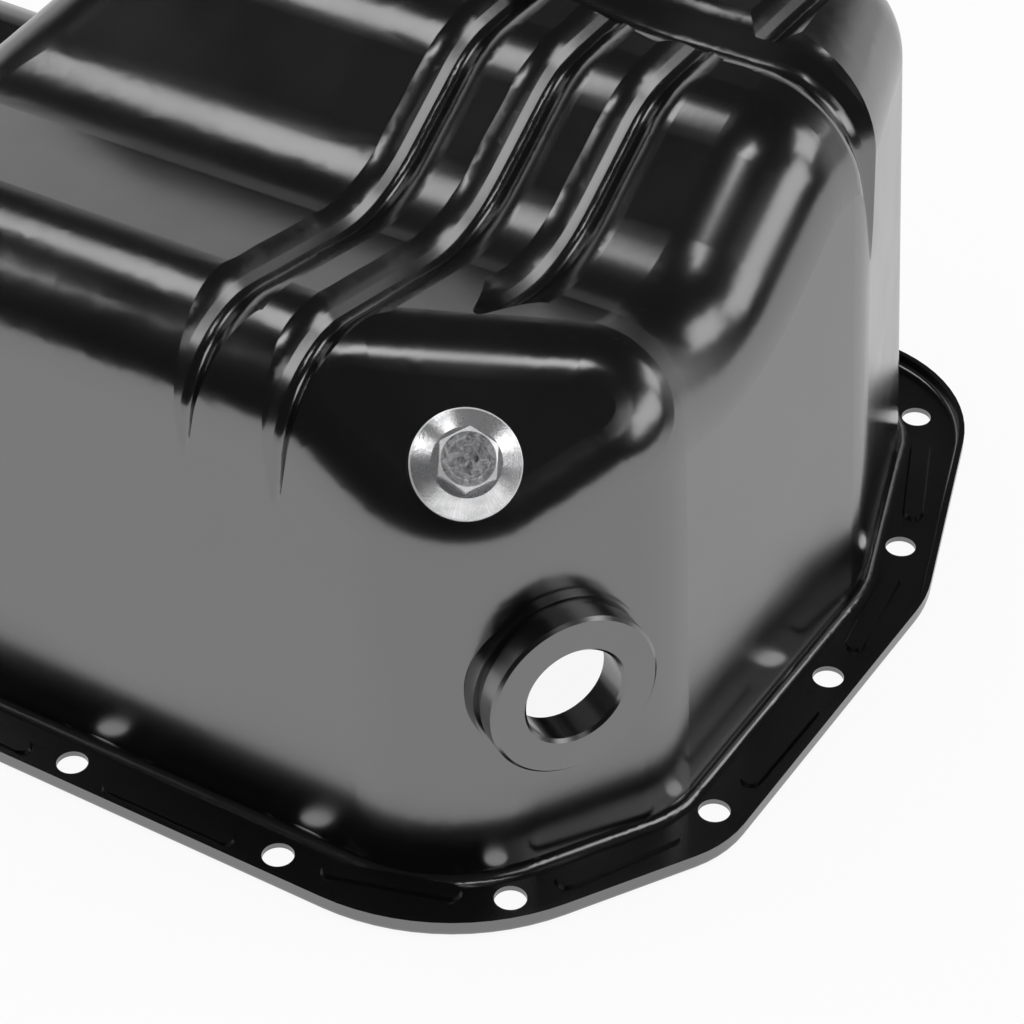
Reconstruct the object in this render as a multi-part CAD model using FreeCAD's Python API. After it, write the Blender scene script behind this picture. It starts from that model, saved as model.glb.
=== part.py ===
import FreeCAD, Part
import math
import os
from FreeCAD import Vector

# Engine oil pan, pressed from one steel sheet, lying on its open mouth.
# Origin: middle of the flange's outline, in the plane of the gasket face.
# X runs along the engine towards the deep end, Y across it, Z up to the sump floor.
# All sizes are in millimetres and all angles in degrees.

# Sheet
sheet = 1.5
wall_draft = 3.0

# Flange and its turned-up rim
flange_length = 400.0
flange_width = 266.0
nose_angle = 58.5            # the port side, turned from the long side
tail_angle = 108.2           # the far chamfer, turned from the long side
end_edge_start = 67.0        # from the middle down to the nose corner
end_edge_finish = 40.5       # from the middle up to the tail corner
plain_corner_radius = 40.0
nose_front_radius = 60.0
nose_end_radius = 30.0
tail_end_radius = 40.0
tail_back_radius = 42.0
rim_height = 5.0
rim_bend_radius = 2.0
rim_foot_radius = 1.2
foot_radius = 3.0

# Walls of the pressed body
flange_land = 17.5           # rim's outside to the foot of the wall
wall_plain_radius = 30.0
wall_nose_front_radius = 44.0
wall_nose_end_radius = 28.0
wall_tail_end_radius = 40.0
top_edge_radius = 26.0

# Floor of the deep sump, seen from below, heights at the port side's groove
floor_slope = 1.2
shelf_height = 138.5
trough_height = 125.5
crown_height = 152.0
shelf_end = 87.9             # the three bends, measured from the middle line
trough_line = 26.9
crown_start = 14.5
shelf_bend_radius = 60.0
trough_bend_radius = 38.0
crown_bend_radius = 35.0
slope_origin = 107.5

# Shallow part and the ramp between
tray_height = 46.0
ramp_foot = 112.0
ramp_angle = 50.0
ramp_foot_radius = 30.0

# Grooves across the floor
groove_depth = 5.0
groove_flank = 45.0
groove_bottom_radius = 2.5
groove_shoulder_radius = 9.0
groove_first = 76.9
groove_pitch = 25.2
groove_count = 3
groove_fade_height = 100.0
groove_fade_length = 48.0
groove_fade_power = 1.4
groove_clearance = 0.8
groove_blunt_start = 62.0    # near end of the last groove, from the middle line
groove_blunt_length = 18.0
groove_lift = 0.05
groove_tolerance = 0.05
skin_step = 6.0
back_groove = 139.7
valley_line = 44.5
valley_depth = 7.0
valley_bottom_radius = 4.0
valley_shoulder_radius = 10.0
valley_fade_length = 50.0
valley_start = 70.0

# Flat for the drain plug
facet_elevation = 45.5
facet_azimuth = -52.4
facet_centre = Vector(141.9, -91.9, 114.7)
facet_edge_radius = 20.0

# Bolt holes and the beads between them
bolt_hole_diameter = 8.0
bolt_inset = 9.1
bolt_pitch = 62.0
bolt_first = 107.5
bolt_columns = 5
end_bolt_pitch = 60.0
end_bolt_count = 4
nose_bolts = [
    Vector(163.0, -106.8, 0),
    Vector(189.9, -55.2, 0),
    Vector(190.8, 2.9, 0),
    Vector(183.0, 59.0, 0),
    Vector(161.2, 111.6, 0),
]
bead_width = 6.5
bead_height = 1.0
bead_flank = 0.9
bead_end_gap = 11.0
bead_offset = 2.2

# Welded collar on the port side
port_height = 58.7
port_outer_diameter = 43.4
port_bore_diameter = 24.8
port_length = 9.5
port_relief_depth = 0.9
port_relief_width = 1.2
port_chamfer = 0.8
port_shift = -0.4            # from the middle of the nose wall
port_step_diameter = 45.0
port_step_height = 1.6
port_back_reach = 3.0
port_bore_chamfer = 0.8
port_wall_hole_diameter = 28.0

# Drain plug, its washer and the welded bush behind
plug_thread_diameter = 14.0
plug_thread_length = 15.0
plug_flange_diameter = 25.7
plug_rim_height = 1.4
plug_cone_height = 3.2
plug_hex_flats = 13.0
plug_hex_height = 6.5
plug_hex_chamfer = 1.0
plug_chamfer_angle = 30.0
plug_neck_margin = 1.6
plug_thread_chamfer = 1.5
plug_dish_depth = 0.4
plug_dish_margin = 1.2
plug_hole_diameter = 15.0
plug_clearance = 0.2
washer_diameter = 22.0
washer_height = 1.5
washer_edge = 0.3
bung_diameter = 26.0
bung_height = 9.0
bung_chamfer = 1.0

# Room that cutting bodies have beyond the part, and the angle that counts as a bend
spare = 60.0
least_bend = 5.0


def direction(angle):
    """Unit vector in the flange plane."""
    return Vector(math.cos(math.radians(angle)), math.sin(math.radians(angle)), 0)


def tangent(angle):
    return math.tan(math.radians(angle))


def flange_corners():
    """Corners of the flange's outline, counterclockwise from the shallow end's port side."""
    left, right = -flange_length / 2, flange_length / 2
    front, back = -flange_width / 2, flange_width / 2
    nose_front = right - (-end_edge_start - front) / tangent(nose_angle)
    tail_back = right + (back - end_edge_finish) / tangent(tail_angle)
    return [
        Vector(left, front, 0),
        Vector(nose_front, front, 0),
        Vector(right, -end_edge_start, 0),
        Vector(right, end_edge_finish, 0),
        Vector(tail_back, back, 0),
        Vector(left, back, 0),
    ]


flange_radii = [
    plain_corner_radius,
    nose_front_radius,
    nose_end_radius,
    tail_end_radius,
    tail_back_radius,
    plain_corner_radius,
]
wall_radii = [
    wall_plain_radius,
    wall_nose_front_radius,
    wall_nose_end_radius,
    wall_tail_end_radius,
    wall_plain_radius,
    wall_plain_radius,
]


def inset_corners(corners, inset):
    """The same polygon with every side moved inwards."""
    sides = []
    for start, end in zip(corners, corners[1:] + corners[:1]):
        along = (end - start).normalize()
        inwards = Vector(-along.y, along.x, 0)
        sides.append((start + inwards * inset, along))
    moved = []
    for before, after in zip(sides[-1:] + sides[:-1], sides):
        (p, d), (q, e) = before, after
        moved.append(p + d * ((q - p).cross(e).z / d.cross(e).z))
    return moved


def corner_arc(before, corner, after, radius):
    """Arc that rounds one corner, with its two ends."""
    to_before = (before - corner).normalize()
    to_after = (after - corner).normalize()
    half = to_before.getAngle(to_after) / 2
    start = corner + to_before * (radius / math.tan(half))
    end = corner + to_after * (radius / math.tan(half))
    middle = corner + (to_before + to_after).normalize() * (radius / math.sin(half) - radius)
    return Part.Arc(start, middle, end).toShape(), start, end


def closed_outline(corners, radii, height):
    """Rounded polygon as a wire at one height."""
    lifted = [Vector(c.x, c.y, height) for c in corners]
    count = len(lifted)
    arcs = [corner_arc(lifted[i - 1], lifted[i], lifted[(i + 1) % count], radii[i]) for i in range(count)]
    edges = []
    for (arc, _, end), (_, start, _) in zip(arcs, arcs[1:] + arcs[:1]):
        edges.append(arc)
        edges.append(Part.LineSegment(end, start).toShape())
    return Part.Wire(edges)


def offset_line(points, offset, normal):
    """An open line of points moved sideways, to the left of its run about the normal."""
    runs = []
    for start, end in zip(points, points[1:]):
        along = (end - start).normalize()
        runs.append((start + normal.cross(along) * offset, along))
    moved = [runs[0][0]]
    for (p, d), (q, e) in zip(runs, runs[1:]):
        moved.append(p + d * ((q - p).cross(e).dot(normal) / d.cross(e).dot(normal)))
    last_run = runs[-1][1]
    moved.append(points[-1] + normal.cross(last_run) * offset)
    return moved


def rounded_line(points, radii, offset, normal):
    """Line of points with rounded bends, moved sideways at a constant distance."""
    moved = offset_line(points, offset, normal)
    edges = []
    last = moved[0]
    for i, radius in enumerate(radii):
        before, corner, after = moved[i], moved[i + 1], moved[i + 2]
        turn = (corner - before).cross(after - corner).dot(normal)
        grown = radius - offset if turn > 0 else radius + offset
        arc, start, end = corner_arc(before, corner, after, grown)
        edges.append(Part.LineSegment(last, start).toShape())
        edges.append(arc)
        last = end
    edges.append(Part.LineSegment(last, moved[-1]).toShape())
    return edges


def outline_block(inset, low, high, radii):
    """Upright block inside the flange's outline."""
    corners = inset_corners(flange_corners(), inset)
    wire = closed_outline(corners, [radius - inset for radius in radii], low)
    return Part.Face(wire).extrude(Vector(0, 0, high - low))


def floor_points():
    """Bends of the sump floor across the pan, on the groove's slope origin."""
    reach = flange_width / 2 + spare
    return [
        Vector(slope_origin, -reach, shelf_height),
        Vector(slope_origin, -shelf_end, shelf_height),
        Vector(slope_origin, -trough_line, trough_height),
        Vector(slope_origin, crown_start, crown_height),
        Vector(slope_origin, reach, crown_height),
    ]


floor_radii = [shelf_bend_radius, trough_bend_radius, crown_bend_radius]


def above_line(edges, top, run):
    """Body above an open line, made by one straight extrusion."""
    start = edges[0].Vertexes[0].Point
    end = edges[-1].Vertexes[-1].Point
    high_start = Vector(start.x, start.y, top)
    high_end = Vector(end.x, end.y, top)
    closing = [
        Part.LineSegment(end, high_end).toShape(),
        Part.LineSegment(high_end, high_start).toShape(),
        Part.LineSegment(high_start, start).toShape(),
    ]
    return Part.Face(Part.Wire(edges + closing)).extrude(run)


def above_floor(depth):
    """Everything above the sump floor, which slopes a little along the pan."""
    edges = rounded_line(floor_points(), floor_radii, -depth, Vector(1, 0, 0))
    reach = flange_length / 2 + spare
    body = above_line(edges, crown_height + 2 * spare, Vector(2 * reach, 0, 2 * reach * tangent(floor_slope)))
    body.translate(Vector(-reach, 0, -reach * tangent(floor_slope)))
    return body


def above_ramp(depth):
    """Everything above the shallow part and the ramp that leads to the sump."""
    reach = flange_length / 2 + spare
    ramp_top = crown_height + spare
    ramp_end = -ramp_foot + (ramp_top - tray_height) / tangent(ramp_angle)
    points = [
        Vector(-reach, -flange_width, tray_height),
        Vector(-ramp_foot, -flange_width, tray_height),
        Vector(ramp_end, -flange_width, ramp_top),
    ]
    edges = rounded_line(points, [ramp_foot_radius], depth, Vector(0, 1, 0))
    return above_line(edges, ramp_top + spare, Vector(0, 2 * flange_width, 0))


def drafted_walls(depth):
    """Block inside the body's walls, which lean inwards on the way up."""
    low, high = -spare / 10, crown_height + spare
    radii = [radius - depth for radius in wall_radii]
    rings = []
    for height in (low, high):
        inset = flange_land + depth + height * tangent(wall_draft)
        rings.append(closed_outline(inset_corners(flange_corners(), inset), radii, height))
    return Part.makeLoft(rings, True, True)


def sharp_edges(body, least_angle, lowest):
    """Edges above a height where two faces meet at more than an angle."""
    found = []
    for edge in body.Edges:
        if edge.BoundBox.ZMin < lowest:
            continue
        faces = body.ancestorsOfType(edge, Part.Face)
        if len(faces) != 2:
            continue
        point = edge.valueAt((edge.FirstParameter + edge.LastParameter) / 2)
        normals = [face.normalAt(*face.Surface.parameter(point)) for face in faces]
        if math.degrees(normals[0].getAngle(normals[1])) > least_angle:
            found.append(edge)
    return found


def facet_normal():
    level = math.cos(math.radians(facet_elevation))
    return direction(facet_azimuth) * level + Vector(0, 0, math.sin(math.radians(facet_elevation)))


def cut_facet(body, depth):
    """Flat for the drain plug across the nose, with its edge rounded."""
    normal = facet_normal()
    seat = facet_centre - normal * depth
    size = flange_width
    tool = Part.makeBox(size, size, size)
    tool.translate(Vector(-size / 2, -size / 2, 0))
    tool.Placement = FreeCAD.Placement(seat, FreeCAD.Rotation(Vector(0, 0, 1), normal)).multiply(tool.Placement)
    cut = body.cut(tool)
    for face in cut.Faces:
        on_plane = isinstance(face.Surface, Part.Plane) and abs(face.Surface.Axis.dot(normal)) > 0.9999
        if on_plane and abs((face.CenterOfMass - seat).dot(normal)) < 0.01:
            return cut.makeFillet(facet_edge_radius - depth, face.OuterWire.Edges)
    return cut


groove_shape = (groove_depth, groove_bottom_radius, groove_shoulder_radius)
valley_shape = (valley_depth, valley_bottom_radius, valley_shoulder_radius)


def groove_section(shape, depth, origin, across, outwards):
    """Cross-section of a groove as a wire, open well above the sheet's surface."""
    flank = math.radians(groove_flank)
    deep, bottom, shoulder = shape
    bottom += depth
    shoulder -= depth
    lift = groove_lift
    drop = deep + lift
    flank_run = (drop - (bottom + shoulder) * (1 - math.cos(flank))) / math.tan(flank)
    first = bottom * math.sin(flank)
    second = first + flank_run
    third = second + shoulder * math.sin(flank)
    first_height = -deep + bottom * (1 - math.cos(flank))
    second_height = first_height + flank_run * math.tan(flank)
    half = flank / 2
    bend = (third - shoulder * math.sin(half), lift - shoulder * (1 - math.cos(half)))
    top = deep

    def at(point):
        return origin + across * point[0] + outwards * point[1]

    edges = [Part.Arc(at((-first, first_height)), at((0, -deep)), at((first, first_height))).toShape()]
    for side in (1, -1):
        corners = [(first, first_height), (second, second_height), bend, (third, lift), (third, top)]
        low, high, middle, rim, lid = [at((side * x, y)) for x, y in corners]
        edges.append(Part.LineSegment(low, high).toShape())
        edges.append(Part.Arc(high, middle, rim).toShape())
        edges.append(Part.LineSegment(rim, lid).toShape())
    edges.append(Part.LineSegment(at((third, top)), at((-third, top))).toShape())
    return Part.Wire(Part.__sortEdges__(edges))


def skin_points(body, normal, position, keep, order):
    """Points of the body's outside in one plane that keep allows, in order."""
    points = []
    for wire in body.slice(normal, position):
        points += [point for point in wire.discretize(Distance=skin_step) if keep(point)]
    points.sort(key=order)
    apart = [points[0]]
    for point in points[1:]:
        if point.distanceToPoint(apart[-1]) > skin_step / 4:
            apart.append(point)
    return apart


def faded(points, normal, length, deep):
    """The line of points, lifted out of the surface little by little at its first end."""
    away = (points[0] - points[1]).normalize()
    points = [points[0] + away * skin_step] + points
    run = 0.0
    line = []
    for i, point in enumerate(points):
        before = points[max(i - 1, 0)]
        after = points[min(i + 1, len(points) - 1)]
        run += point.distanceToPoint(before)
        left = max(0.0, 1 - run / length)
        outwards = normal.cross(after - before).normalize()
        line.append(point + outwards * (deep + groove_clearance) * left ** groove_fade_power)
    return line


def groove(shape, points, depth, normal):
    """Groove along a line of points over the surface."""
    curve = Part.BSplineCurve()
    curve.approximate(Points=points, DegMax=3, Continuity="C1", Tolerance=groove_tolerance)
    path = curve.toShape()
    along = path.tangentAt(path.FirstParameter)
    start = path.valueAt(path.FirstParameter)
    section = groove_section(shape, depth, start, normal, normal.cross(along))
    return Part.Wire([path]).makePipeShell([section], True, False)


def front_groove(body, x, depth, blunt):
    """Groove over the floor to the valley, from the port side's wall or from a blunt end."""
    def keep(point):
        reached = point.y > -groove_blunt_start if blunt else point.z > groove_fade_height
        return reached and point.z > groove_fade_height and point.y < valley_line

    normal = Vector(1, 0, 0)
    points = skin_points(body, normal, x, keep, lambda point: point.y + point.z)
    length = groove_blunt_length if blunt else groove_fade_length
    return groove(groove_shape, faded(points, normal, length, groove_depth), depth, normal)


def rear_groove(body, x, depth):
    """Groove from the far wall over the floor to the valley."""
    def keep(point):
        return point.z > groove_fade_height and point.y > valley_line

    normal = Vector(-1, 0, 0)
    points = skin_points(body, normal * -1, x, keep, lambda point: point.z - point.y)
    return groove(groove_shape, faded(points, normal, groove_fade_length, groove_depth), depth, normal)


def main_valley(body, depth):
    """Valley along the pan that parts the sump floor into two lobes."""
    def keep(point):
        return point.z > groove_fade_height and point.x > valley_start

    normal = Vector(0, 1, 0)
    line = skin_points(body, normal, valley_line, keep, lambda point: point.z - point.x)
    line = faded(line, normal, valley_fade_length, valley_depth)
    both = faded(line[::-1], normal * -1, valley_fade_length, valley_depth)
    return groove(valley_shape, both, depth, normal * -1)


def grooves(body, depth):
    """All cutting bodies for the grooves of one skin."""
    last = groove_count - 1
    tools = [rear_groove(body, back_groove, depth), main_valley(body, depth)]
    for i in range(groove_count):
        tools.append(front_groove(body, groove_first + i * groove_pitch, depth, i == last))
    return tools


def placed(body, seat, axis):
    """Move a body from the origin, standing on Z, to its seat along an axis."""
    body.Placement = FreeCAD.Placement(seat, FreeCAD.Rotation(Vector(0, 0, 1), axis))
    return body


def turned(profile):
    """Solid turned about Z from (radius, height) corners."""
    points = [Vector(radius, 0, height) for radius, height in profile]
    face = Part.Face(Part.makePolygon(points + points[:1]))
    return face.revolve(Vector(0, 0, 0), Vector(0, 0, 1), 360)


def port_axis():
    level = math.cos(math.radians(wall_draft))
    return direction(nose_angle - 90) * level + Vector(0, 0, math.sin(math.radians(wall_draft)))


def port_centre():
    """Middle of the port on the outside of the nose wall."""
    corners = inset_corners(flange_corners(), flange_land + port_height * tangent(wall_draft))
    middle = (corners[1] + corners[2]) * 0.5 + direction(nose_angle) * port_shift
    return Vector(middle.x, middle.y, port_height)


def body_form(depth):
    """Solid inside the pan's skin, at a depth in the sheet from its outside."""
    body = drafted_walls(depth).cut(above_floor(depth)).cut(above_ramp(depth))
    plain = body.makeFillet(top_edge_radius - depth, sharp_edges(body, least_bend, 1))
    body = cut_facet(plain, depth)
    for tool in grooves(plain, depth):
        body = body.cut(tool)
    return body


def loop_edges(body, height, inset):
    """Edges that lie at one height, at least an inset inside the flange's outline."""
    inner = outline_block(inset, height - 1, height + 1, flange_radii)
    found = []
    for edge in body.Edges:
        box = edge.BoundBox
        level = abs(box.ZMin - height) < 0.01 and abs(box.ZMax - height) < 0.01
        if level and inner.isInside(edge.valueAt((edge.FirstParameter + edge.LastParameter) / 2), 0.01, True):
            found.append(edge)
    return found


def flange_tray():
    """Flat flange with its turned-up rim, still without the mouth."""
    block = outline_block(0, 0, rim_height, flange_radii)
    block = block.makeFillet(rim_bend_radius, [edge for edge in block.Edges if edge.BoundBox.ZMax < 0.01])
    hollow = outline_block(sheet, sheet, rim_height + 1, flange_radii)
    hollow = hollow.makeFillet(rim_foot_radius, [edge for edge in hollow.Edges if edge.BoundBox.ZMax < sheet + 0.01])
    return block.cut(hollow)


def bolt_runs():
    """Middles of the bolt holes round the pan and of those along the shallow end."""
    row = flange_width / 2 - bolt_inset
    end = -flange_length / 2 + bolt_inset
    columns = [bolt_first - i * bolt_pitch for i in range(bolt_columns)]
    near = [Vector(x, -row, 0) for x in reversed(columns)]
    far = [Vector(x, row, 0) for x in columns]
    span = end_bolt_pitch * (end_bolt_count - 1) / 2
    shallow = [Vector(end, span - i * end_bolt_pitch, 0) for i in range(end_bolt_count)]
    return [near + nose_bolts + far, shallow]


def bolt_points():
    """Middles of all bolt holes."""
    return [point for run in bolt_runs() for point in run]


def slot_outline(length, width, height):
    """Slot along X as a wire."""
    half = (length - width) / 2
    r = width / 2
    edges = [
        Part.LineSegment(Vector(-half, -r, height), Vector(half, -r, height)).toShape(),
        Part.Arc(Vector(half, -r, height), Vector(half + r, 0, height), Vector(half, r, height)).toShape(),
        Part.LineSegment(Vector(half, r, height), Vector(-half, r, height)).toShape(),
        Part.Arc(Vector(-half, r, height), Vector(-half - r, 0, height), Vector(-half, -r, height)).toShape(),
    ]
    return Part.Wire(edges)


def beads():
    """Stiffening beads between neighbouring bolt holes, a little outside their line."""
    pairs = [pair for run in bolt_runs() for pair in zip(run, run[1:])]
    made = []
    for start, end in pairs:
        along = end - start
        length = along.Length - 2 * bead_end_gap
        foot = slot_outline(length, bead_width, -sheet / 2)
        top = slot_outline(length - 2 * bead_flank, bead_width - 2 * bead_flank, bead_height)
        bead = Part.makeLoft([foot, top], True, True)
        bead.rotate(Vector(0, 0, 0), Vector(0, 0, 1), math.degrees(math.atan2(along.y, along.x)))
        outwards = Vector(along.y, -along.x, 0).normalize()
        bead.translate((start + end) * 0.5 + outwards * bead_offset + Vector(0, 0, sheet))
        made.append(bead)
    return made


def pan_shell(outer, inner):
    """The pan itself, one pressed sheet."""
    below = Part.makeBox(2 * flange_length, 2 * flange_length, spare, Vector(-flange_length, -flange_length, -spare))
    shell = flange_tray().fuse(outer.cut(below)).removeSplitter()
    shell = shell.makeFillet(foot_radius, loop_edges(shell, sheet, flange_land / 2))
    shell = shell.cut(inner)
    shell = shell.makeFillet(foot_radius + sheet, loop_edges(shell, 0, flange_land / 2))
    shell = shell.fuse(beads())
    for point in bolt_points():
        shell = shell.cut(Part.makeCylinder(bolt_hole_diameter / 2, 4 * sheet, point - Vector(0, 0, sheet)))
    port = Part.makeCylinder(port_wall_hole_diameter / 2, 8 * sheet, Vector(0, 0, -6 * sheet))
    shell = shell.cut(placed(port, port_centre(), port_axis()))
    drain = Part.makeCylinder(plug_hole_diameter / 2, 4 * sheet, Vector(0, 0, -2 * sheet))
    return shell.cut(placed(drain, facet_centre, facet_normal()))


def port_collar(outer):
    """Turned collar, its back face fitted to the wall it is welded to."""
    out = port_outer_diameter / 2
    bore = port_bore_diameter / 2
    step = port_step_diameter / 2
    waist = port_step_height + port_relief_width
    back = -port_back_reach
    profile = [
        (bore, back), (step, back), (step, port_step_height), (out - port_relief_depth, port_step_height),
        (out - port_relief_depth, waist), (out, waist + port_relief_depth),
        (out, port_length - port_chamfer), (out - port_chamfer, port_length),
        (bore + port_bore_chamfer, port_length), (bore, port_length - port_bore_chamfer),
    ]
    collar = placed(turned(profile), port_centre(), port_axis())
    return collar.cut(outer)


def drain_plug():
    """Hexagon plug with a coned flange and a plain threaded part."""
    rim = plug_flange_diameter / 2
    shank = plug_thread_diameter / 2
    neck = plug_hex_flats / 2 + plug_neck_margin
    base = washer_height
    cone_top = base + plug_rim_height + plug_cone_height
    profile = [
        (0, -plug_thread_length), (shank - plug_thread_chamfer, -plug_thread_length),
        (shank, plug_thread_chamfer - plug_thread_length), (shank, base), (rim, base),
        (rim, base + plug_rim_height), (neck, cone_top), (0, cone_top),
    ]
    corner = plug_hex_flats / math.sqrt(3)
    points = [direction(60 * i) * corner for i in range(6)]
    height = plug_cone_height + plug_hex_height
    hexagon = Part.Face(Part.makePolygon(points + points[:1])).extrude(Vector(0, 0, height))
    edge = plug_hex_flats / 2 - plug_hex_chamfer / 3
    reach = corner + 1
    cap_profile = [(0, 0), (reach, 0), (reach, height - (reach - edge) * tangent(plug_chamfer_angle)), (edge, height)]
    hexagon = hexagon.common(turned(cap_profile + [(0, height)]))
    hexagon.translate(Vector(0, 0, base + plug_rim_height))
    dish = turned([
        (0, height - plug_dish_depth), (edge - plug_dish_margin - plug_dish_depth, height - plug_dish_depth),
        (edge - plug_dish_margin, height), (0, height),
    ])
    dish.translate(Vector(0, 0, base + plug_rim_height))
    head = turned(profile).fuse(hexagon).cut(dish).removeSplitter()
    return placed(head, facet_centre, facet_normal())


def drain_washer():
    hole = plug_thread_diameter / 2 + plug_clearance
    edge = washer_edge
    out = washer_diameter / 2
    profile = [
        (hole, 0), (out - edge, 0), (out, edge), (out, washer_height - edge),
        (out - edge, washer_height), (hole, washer_height),
    ]
    return placed(turned(profile), facet_centre, facet_normal())


def drain_bung(inner):
    """Welded bush behind the sheet that holds the plug's thread."""
    hole = plug_thread_diameter / 2 + plug_clearance
    out = bung_diameter / 2
    low = -sheet - bung_height
    profile = [(hole, low), (out - bung_chamfer, low), (out, low + bung_chamfer), (out, 0), (hole, 0)]
    bung = placed(turned(profile), facet_centre, facet_normal())
    return bung.common(inner)


def main():
    os.makedirs("parts", exist_ok=True)
    outer = body_form(0)
    inner = body_form(sheet)
    nodes = {
        "pan_shell": pan_shell(outer, inner),
        "port_collar": port_collar(outer),
        "drain_plug": drain_plug(),
        "drain_washer": drain_washer(),
        "drain_bung": drain_bung(inner),
    }
    for name, shape in nodes.items():
        solid = shape.Solids[0]
        print(name, len(shape.Solids), solid.isValid(), len(solid.Faces), round(solid.Volume))
        solid.exportStep("parts/" + name + ".step")


main()
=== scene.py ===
import math

import bmesh
import bpy
from mathutils import Matrix, Vector

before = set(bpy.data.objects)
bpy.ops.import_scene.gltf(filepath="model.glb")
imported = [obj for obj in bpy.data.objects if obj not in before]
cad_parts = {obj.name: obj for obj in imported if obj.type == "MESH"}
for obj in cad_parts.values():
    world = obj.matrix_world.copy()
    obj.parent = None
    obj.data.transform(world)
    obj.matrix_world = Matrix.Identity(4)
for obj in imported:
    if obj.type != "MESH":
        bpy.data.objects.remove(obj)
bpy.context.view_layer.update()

# Camera, from the photograph's angle: metres, degrees, pixels, and millimetres of sensor
CAMERA_PLACE = Vector((0.4856, -0.6305, 0.626))
CAMERA_AZIMUTH = 31.6
CAMERA_ELEVATION = 39.4
FOCAL_PIXELS = 3650.0
IMAGE_PIXELS = 1024.0
SENSOR_WIDTH = 36.0
NEAR_CLIP = 0.05
FAR_CLIP = 50.0

# Floor
FLOOR_SIZE = 12.0
FLOOR_COLOUR = (0.86, 0.86, 0.86, 1.0)
FLOOR_WHITE = (1.0, 1.0, 1.0, 1.0)
FLOOR_WHITE_SHARE = 0.92
FLOOR_ROUGHNESS = 0.9

# Surroundings: a pale band between two heights, strongest on the far side
SKY_PALE = (0.75, 0.75, 0.75, 1.0)
SKY_DARK = (0.025, 0.025, 0.027, 1.0)
SKY_PALE_TOP = 0.46
SKY_PALE_FOOT = 0.20
SKY_PALE_TURN = 0.5

# Softboxes: how far right of, before and above the object each stands, as the camera sees it,
# then its width and height in metres and its power in watts
STUDIO_MIDDLE = Vector((0.1, 0.0, 0.0))
LIGHT_TARGET = Vector((0.1, 0.0, 0.1))
SOFTBOXES = {
    "overhead_light": ((0.2, 0.36, 1.95), (0.5, 0.3), 1.35),
    "right_light": ((1.55, 0.75, 1.0), (1.3, 0.7), 5.6),
    "front_light": ((0.9, 1.2, 1.35), (0.5, 0.5), 0.6),
    "left_light": ((-0.7, -0.85, 1.75), (0.6, 0.6), 2.4),
    "left_low_light": ((-1.55, -0.15, 1.15), (0.7, 0.7), 3.0),
    "right_low_light": ((1.65, -0.3, 1.2), (0.7, 0.7), 3.0),
    "fill_light": ((0.0, 0.0, 2.3), (2.4, 2.4), 36.0),
}

# Dipped black paint: colours, gloss as lowest and highest roughness, and the grain of its surface
PAINT_BLACK = (0.0035, 0.0035, 0.0038, 1.0)
PAINT_GREY = (0.009, 0.009, 0.0095, 1.0)
PAINT_IOR = 2.5
PAN_GLOSS = (0.17, 0.23)
COLLAR_GLOSS = (0.18, 0.26)
BUNG_GLOSS = (0.24, 0.32)
PAN_PEEL = 1.0
TURNED_PEEL = 0.6
PEEL_SCALE = 420.0
PEEL_HEIGHT = 0.25
WAVE_SCALE = 14.0
PATCH_SCALE = 28.0
DUST_SCALE = 900.0
PAINT_DEPTH = 0.00004

# Zinc plate: colours, how metallic each zone is, and the grain of its surface
ZINC_BRIGHT = (0.97, 0.97, 0.98, 1.0)
ZINC_DULL = (0.50, 0.50, 0.51, 1.0)
# Pale zinc on the hexagon's crown edge and the flange rim: a painted highlight
ZINC_EDGE_HIGHLIGHT = (0.95, 0.95, 0.96, 1.0)
ZINC_FORGED_DARK = (0.04, 0.04, 0.045, 1.0)
ZINC_FORGED_PALE = (0.75, 0.75, 0.76, 1.0)
ZINC_METALLIC = 0.82
# Lower metallic on those edges, so that their painted highlight shows
EDGE_HIGHLIGHT_METALLIC = 0.35
HEX_DISH_METALLIC = 0.3
ZINC_SMOOTH = 0.2
ZINC_ROUGH = 0.45
PLUG_WEAR = 0.45
WASHER_WEAR = 0.9
CLOUD_SCALE = 260.0
DENT_SCALE = 1400.0
FORGED_SCALE = 480.0
FORGED_SWIRL = 1.2
CONE_STREAKS = 34.0
ZINC_DEPTH = 0.00003

# Zones of the drain plug, in metres from its crown and from its axis, and the axis in degrees
PLUG_AXIS_ELEVATION = 45.5
PLUG_AXIS_AZIMUTH = -52.4
# The crown depth and rim radius below bound the painted highlight on the plug's edges
HEX_EDGE_DEPTH = 0.0009
HEX_DISH_RADIUS = 0.0061
PLUG_RIM_RADIUS = 0.0124
ZONE_SOFTNESS = 0.0002


def place_camera():
    """Camera with the photograph's angle and field of view."""
    data = bpy.data.cameras.new("photo_camera")
    data.sensor_width = SENSOR_WIDTH
    data.lens = SENSOR_WIDTH * FOCAL_PIXELS / IMAGE_PIXELS
    data.clip_start = NEAR_CLIP
    data.clip_end = FAR_CLIP
    camera = bpy.data.objects.new("photo_camera", data)
    camera.location = CAMERA_PLACE
    camera.rotation_euler = (math.radians(90 - CAMERA_ELEVATION), 0, math.radians(CAMERA_AZIMUTH))
    bpy.context.scene.collection.objects.link(camera)
    bpy.context.scene.camera = camera


def group_of(name, inputs, outputs):
    """Empty shader node group with named sockets, and its two ends."""
    group = bpy.data.node_groups.new(name, "ShaderNodeTree")
    for label, kind, value in inputs:
        socket = group.interface.new_socket(label, in_out="INPUT", socket_type=kind)
        socket.default_value = value
    for label, kind in outputs:
        group.interface.new_socket(label, in_out="OUTPUT", socket_type=kind)
    start = group.nodes.new("NodeGroupInput")
    end = group.nodes.new("NodeGroupOutput")
    return group, start, end


def feed(tree, target, value):
    """Link a socket to an input, or set the input to a fixed value."""
    if isinstance(value, bpy.types.NodeSocket):
        tree.links.new(value, target)
    else:
        target.default_value = value


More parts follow.
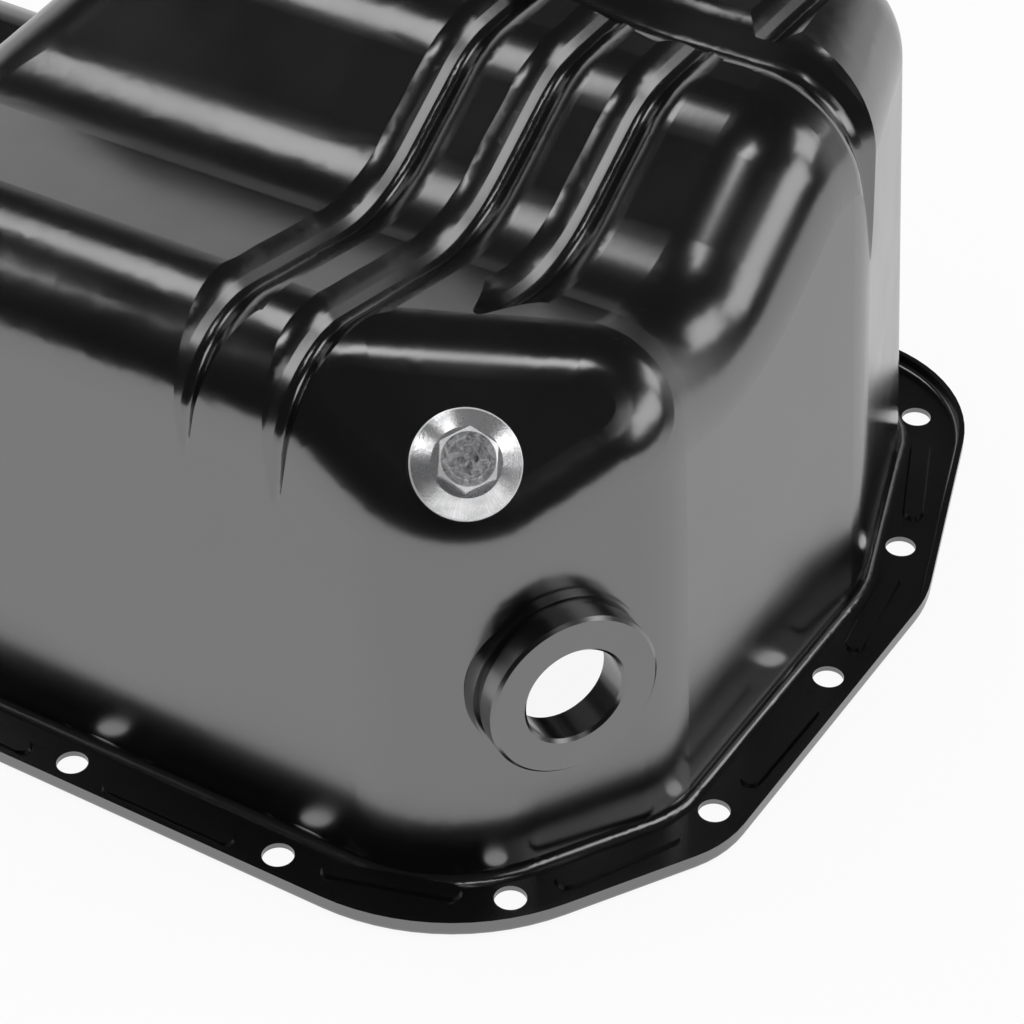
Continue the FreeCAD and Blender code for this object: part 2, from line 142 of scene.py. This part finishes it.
def math_step(tree, operation, first, second, clamp=False):
    """One step of arithmetic."""
    step = tree.nodes.new("ShaderNodeMath")
    step.operation = operation
    step.use_clamp = clamp
    feed(tree, step.inputs[0], first)
    feed(tree, step.inputs[1], second)
    return step.outputs["Value"]


def vector_step(tree, operation, value, other=None):
    """One vector step, with a fixed second vector."""
    step = tree.nodes.new("ShaderNodeVectorMath")
    step.operation = operation
    tree.links.new(value, step.inputs[0])
    if other is not None:
        step.inputs[1].default_value = other
    number = operation in ("DOT_PRODUCT", "LENGTH")
    return step.outputs["Value" if number else "Vector"]


def blend(tree, share, first, second, kind="RGBA"):
    """Mix two colours, or two numbers where the kind is FLOAT."""
    mix = tree.nodes.new("ShaderNodeMix")
    mix.data_type = kind
    tree.links.new(share, mix.inputs["Factor"])
    feed(tree, mix.inputs["A"], first)
    feed(tree, mix.inputs["B"], second)
    return mix.outputs["Result"]


def spread(tree, value, low, high, start=0.0, end=1.0):
    """Map a value from one range to another, and hold it at both ends."""
    mapping = tree.nodes.new("ShaderNodeMapRange")
    mapping.inputs["From Min"].default_value = start
    mapping.inputs["From Max"].default_value = end
    feed(tree, mapping.inputs["To Min"], low)
    feed(tree, mapping.inputs["To Max"], high)
    tree.links.new(value, mapping.inputs["Value"])
    return mapping.outputs["Result"]


def noise(tree, scale, detail, roughness=0.5, place=None, swirl=0.0):
    """Noise on the object's own coordinates, or on a place that is given."""
    if place is None:
        place = tree.nodes.new("ShaderNodeTexCoord").outputs["Object"]
    texture = tree.nodes.new("ShaderNodeTexNoise")
    texture.inputs["Scale"].default_value = scale
    texture.inputs["Detail"].default_value = detail
    texture.inputs["Roughness"].default_value = roughness
    texture.inputs["Distortion"].default_value = swirl
    tree.links.new(place, texture.inputs["Vector"])
    return texture.outputs["Fac"]


def paint_surface_group():
    """Dipped black paint: a faint orange peel, slow waves of the sheet, uneven gloss, and dust."""
    group, start, end = group_of(
        "dipped_paint_surface",
        [("Peel", "NodeSocketFloat", PAN_PEEL), ("Roughness Low", "NodeSocketFloat", PAN_GLOSS[0]),
         ("Roughness High", "NodeSocketFloat", PAN_GLOSS[1])],
        [("Height", "NodeSocketFloat"), ("Roughness", "NodeSocketFloat"), ("Dust", "NodeSocketFloat")],
    )
    peel = spread(group, noise(group, PEEL_SCALE, 2.0), 0.0, PEEL_HEIGHT)
    waves = spread(group, noise(group, WAVE_SCALE, 1.0), 0.0, 1.0)
    both = math_step(group, "ADD", peel, waves)
    height = math_step(group, "MULTIPLY", both, start.outputs["Peel"])
    group.links.new(height, end.inputs["Height"])

    patches = noise(group, PATCH_SCALE, 4.0)
    low = start.outputs["Roughness Low"]
    high = start.outputs["Roughness High"]
    group.links.new(spread(group, patches, low, high, 0.35, 0.7), end.inputs["Roughness"])

    specks = spread(group, noise(group, DUST_SCALE, 0.0), 0.0, 1.0, 0.74, 0.80)
    group.links.new(specks, end.inputs["Dust"])
    return group


def zinc_surface_group():
    """Zinc plating: cloudy tone, rougher where it is dull, and small dents."""
    group, start, end = group_of(
        "zinc_plate_surface",
        [("Bright", "NodeSocketColor", ZINC_BRIGHT), ("Dull", "NodeSocketColor", ZINC_DULL),
         ("Wear", "NodeSocketFloat", PLUG_WEAR)],
        [("Color", "NodeSocketColor"), ("Height", "NodeSocketFloat"), ("Roughness", "NodeSocketFloat")],
    )
    clouds = spread(group, noise(group, CLOUD_SCALE, 5.0, 0.6), 0.0, 1.0, 0.35, 0.68)
    wear_and_sheen = math_step(group, "MULTIPLY", clouds, start.outputs["Wear"])
    tone = blend(group, wear_and_sheen, start.outputs["Bright"], start.outputs["Dull"])
    dents = spread(group, noise(group, DENT_SCALE, 3.0), 0.0, 1.0)
    group.links.new(tone, end.inputs["Color"])
    group.links.new(spread(group, wear_and_sheen, ZINC_SMOOTH, ZINC_ROUGH), end.inputs["Roughness"])
    group.links.new(dents, end.inputs["Height"])
    return group


def new_material(name):
    """Material with nodes, its tree and its main shader."""
    material = bpy.data.materials.new(name)
    material.use_nodes = True
    return material, material.node_tree, material.node_tree.nodes["Principled BSDF"]


def add_group(tree, group, **values):
    """Place a surface group in a material, with this material's own values."""
    node = tree.nodes.new("ShaderNodeGroup")
    node.node_tree = group
    for label, value in values.items():
        node.inputs[label.replace("_", " ")].default_value = value
    return node


def add_bump(tree, shader, height, distance):
    """Fine relief on the shader's normal."""
    bump = tree.nodes.new("ShaderNodeBump")
    bump.inputs["Distance"].default_value = distance
    bump.inputs["Strength"].default_value = 1.0
    tree.links.new(height, bump.inputs["Height"])
    tree.links.new(bump.outputs["Normal"], shader.inputs["Normal"])


def black_paint(name, group, peel, gloss):
    """Deep gloss black over steel."""
    material, tree, shader = new_material(name)
    surface = add_group(tree, group, Peel=peel, Roughness_Low=gloss[0], Roughness_High=gloss[1])
    tone = blend(tree, surface.outputs["Dust"], PAINT_BLACK, PAINT_GREY)
    tree.links.new(tone, shader.inputs["Base Color"])
    tree.links.new(surface.outputs["Roughness"], shader.inputs["Roughness"])
    shader.inputs["IOR"].default_value = PAINT_IOR
    add_bump(tree, shader, surface.outputs["Height"], PAINT_DEPTH)
    return material


def zinc_plate(name, group, wear):
    """Bright zinc, duller where it has been handled."""
    material, tree, shader = new_material(name)
    surface = add_group(tree, group, Wear=wear)
    tree.links.new(surface.outputs["Color"], shader.inputs["Base Color"])
    tree.links.new(surface.outputs["Roughness"], shader.inputs["Roughness"])
    shader.inputs["Metallic"].default_value = ZINC_METALLIC
    add_bump(tree, shader, surface.outputs["Height"], ZINC_DEPTH)
    return material


def plug_axis():
    """Direction that the drain plug points in."""
    turn = math.radians(PLUG_AXIS_AZIMUTH)
    rise = math.radians(PLUG_AXIS_ELEVATION)
    level = math.cos(rise)
    return Vector((math.cos(turn) * level, math.sin(turn) * level, math.sin(rise)))


def crown_centre(axis):
    """Middle of the hexagon's flat crown, and so a point on the plug's axis."""
    points = [vertex.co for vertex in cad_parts["drain_plug"].data.vertices]
    tip = max(point.dot(axis) for point in points)
    crown = [point for point in points if point.dot(axis) > tip - ZONE_SOFTNESS / 2]
    return sum(crown, Vector()) / len(crown)


def plug_zinc(group):
    """Zinc plate: radial streaks on the cone, a painted highlight of pale zinc on the crown edge and
    the flange rim, and a rough, forged dish.
    """
    material = zinc_plate("plug_zinc_finish", group, PLUG_WEAR)
    tree = material.node_tree
    shader = tree.nodes["Principled BSDF"]
    plated = shader.inputs["Base Color"].links[0].from_socket

    # Height over the crown, distance from the axis, and angle round it
    axis = plug_axis()
    side = axis.cross(Vector((0.0, 0.0, 1.0))).normalized()
    place = tree.nodes.new("ShaderNodeTexCoord").outputs["Object"]
    offset = vector_step(tree, "SUBTRACT", place, crown_centre(axis))
    height = vector_step(tree, "DOT_PRODUCT", offset, axis)
    radius = vector_step(tree, "LENGTH", vector_step(tree, "CROSS_PRODUCT", offset, axis))
    across = vector_step(tree, "DOT_PRODUCT", offset, side)
    along = vector_step(tree, "DOT_PRODUCT", offset, axis.cross(side))
    round_place = tree.nodes.new("ShaderNodeCombineXYZ")
    tree.links.new(math_step(tree, "ARCTAN2", across, along), round_place.inputs["X"])

    # Zones: the crown edge and the flange rim, where a highlight is painted, and the forged dish
    crown_highlight = spread(tree, height, 0.0, 1.0, -HEX_EDGE_DEPTH, ZONE_SOFTNESS - HEX_EDGE_DEPTH)
    rim_highlight = spread(tree, radius, 0.0, 1.0, PLUG_RIM_RADIUS, PLUG_RIM_RADIUS + ZONE_SOFTNESS)
    edge_highlight = math_step(tree, "MAXIMUM", crown_highlight, rim_highlight)
    dish = spread(tree, radius, 1.0, 0.0, HEX_DISH_RADIUS, HEX_DISH_RADIUS + ZONE_SOFTNESS)

    # Colours
    streaks = noise(tree, CONE_STREAKS, 4.0, 0.7, round_place.outputs["Vector"])
    swirls = noise(tree, FORGED_SCALE, 5.0, 0.65, swirl=FORGED_SWIRL)
    grain = spread(tree, swirls, 0.0, 1.0, 0.28, 0.76)
    forged = blend(tree, grain, ZINC_FORGED_DARK, ZINC_FORGED_PALE)
    brushed = blend(tree, spread(tree, streaks, 0.0, 0.5, 0.4, 0.7), plated, ZINC_DULL)
    # Pale zinc on the crown edge and flange rim: a painted highlight
    highlit_zinc = blend(tree, edge_highlight, brushed, ZINC_EDGE_HIGHLIGHT)
    tree.links.new(blend(tree, dish, highlit_zinc, forged), shader.inputs["Base Color"])

    # Edges made less metallic, so that the pale painted highlight shows
    wear_and_sheen = spread(tree, edge_highlight, ZINC_METALLIC, EDGE_HIGHLIGHT_METALLIC)
    metallic = blend(tree, dish, wear_and_sheen, HEX_DISH_METALLIC, "FLOAT")
    tree.links.new(metallic, shader.inputs["Metallic"])
    return material


def floor_material():
    """Pale floor: white to the camera and in reflections, but it still takes the shadow."""
    material, tree, shader = new_material("studio_floor")
    shader.inputs["Base Color"].default_value = FLOOR_COLOUR
    shader.inputs["Roughness"].default_value = FLOOR_ROUGHNESS
    shader.inputs["Specular IOR Level"].default_value = 0.0
    white = tree.nodes.new("ShaderNodeEmission")
    white.inputs["Color"].default_value = FLOOR_WHITE
    white.inputs["Strength"].default_value = 1.0
    path = tree.nodes.new("ShaderNodeLightPath").outputs
    seen = math_step(tree, "ADD", path["Is Camera Ray"], path["Is Glossy Ray"], clamp=True)
    seen = math_step(tree, "ADD", seen, path["Is Transmission Ray"], clamp=True)
    share = math_step(tree, "MULTIPLY", seen, FLOOR_WHITE_SHARE)
    mixed = tree.nodes.new("ShaderNodeMixShader")
    output = tree.nodes["Material Output"]
    tree.links.new(share, mixed.inputs["Fac"])
    tree.links.new(shader.outputs["BSDF"], mixed.inputs[1])
    tree.links.new(white.outputs["Emission"], mixed.inputs[2])
    tree.links.new(mixed.outputs["Shader"], output.inputs["Surface"])
    return material


def lay_floor():
    """Plain square floor under the object."""
    mesh = bpy.data.meshes.new("floor")
    grid = bmesh.new()
    bmesh.ops.create_grid(grid, x_segments=1, y_segments=1, size=FLOOR_SIZE / 2)
    grid.to_mesh(mesh)
    grid.free()
    floor = bpy.data.objects.new("floor", mesh)
    mesh.materials.append(floor_material())
    bpy.context.scene.collection.objects.link(floor)


def far_heading():
    """Level direction from the camera to the far side."""
    turn = math.radians(CAMERA_AZIMUTH)
    return Vector((-math.sin(turn), math.cos(turn), 0.0))


def light_world():
    """A pale backdrop low on the far side, and dark walls and ceiling elsewhere."""
    world = bpy.data.worlds.new("studio")
    world.use_nodes = True
    bpy.context.scene.world = world
    tree = world.node_tree
    background = tree.nodes["Background"]
    place = tree.nodes.new("ShaderNodeTexCoord").outputs["Generated"]
    split = tree.nodes.new("ShaderNodeSeparateXYZ")
    tree.links.new(place, split.inputs["Vector"])
    low = spread(tree, split.outputs["Z"], 0.0, 1.0, SKY_PALE_TOP, SKY_PALE_FOOT)
    ahead = vector_step(tree, "DOT_PRODUCT", place, far_heading())
    far = spread(tree, ahead, 0.0, 1.0, 0.0, SKY_PALE_TURN)
    share = math_step(tree, "MULTIPLY", low, far)
    tree.links.new(blend(tree, share, SKY_DARK, SKY_PALE), background.inputs["Color"])
    background.inputs["Strength"].default_value = 1.0


def camera_turn(right, before, up):
    """Point at the given distances right of, before and above the object, as the camera sees it."""
    heading = Matrix.Rotation(math.radians(CAMERA_AZIMUTH), 3, "Z")
    return heading @ Vector((right, -before, up)) + STUDIO_MIDDLE


def softbox(name, place, size, power):
    """Rectangular soft light that faces the object."""
    data = bpy.data.lights.new(name, "AREA")
    data.shape = "RECTANGLE"
    data.size = size[0]
    data.size_y = size[1]
    data.energy = power
    light = bpy.data.objects.new(name, data)
    light.location = place
    light.rotation_euler = (LIGHT_TARGET - place).to_track_quat("-Z", "Y").to_euler()
    bpy.context.scene.collection.objects.link(light)
    return light


def light_studio():
    """Softboxes where the photograph's highlights come from, and a fill that no gloss shows."""
    for name, (place, size, power) in SOFTBOXES.items():
        light = softbox(name, camera_turn(*place), size, power)
        light.visible_glossy = name != "fill_light"


def dress(node, material):
    """Give a CAD node its finish."""
    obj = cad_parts[node]
    for slot in obj.material_slots:
        slot.material = material


def dress_nodes():
    """Black paint on the pan, collar and bung, and zinc on the plug and washer."""
    paint = paint_surface_group()
    zinc = zinc_surface_group()
    dress("pan_shell", black_paint("pan_black", paint, PAN_PEEL, PAN_GLOSS))
    dress("port_collar", black_paint("collar_black", paint, TURNED_PEEL, COLLAR_GLOSS))
    dress("drain_bung", black_paint("bung_black", paint, TURNED_PEEL, BUNG_GLOSS))
    dress("drain_plug", plug_zinc(zinc))
    dress("drain_washer", zinc_plate("washer_finish", zinc, WASHER_WEAR))


def main():
    bpy.context.scene.view_settings.view_transform = "Standard"
    place_camera()
    dress_nodes()
    lay_floor()
    light_world()
    light_studio()


main()
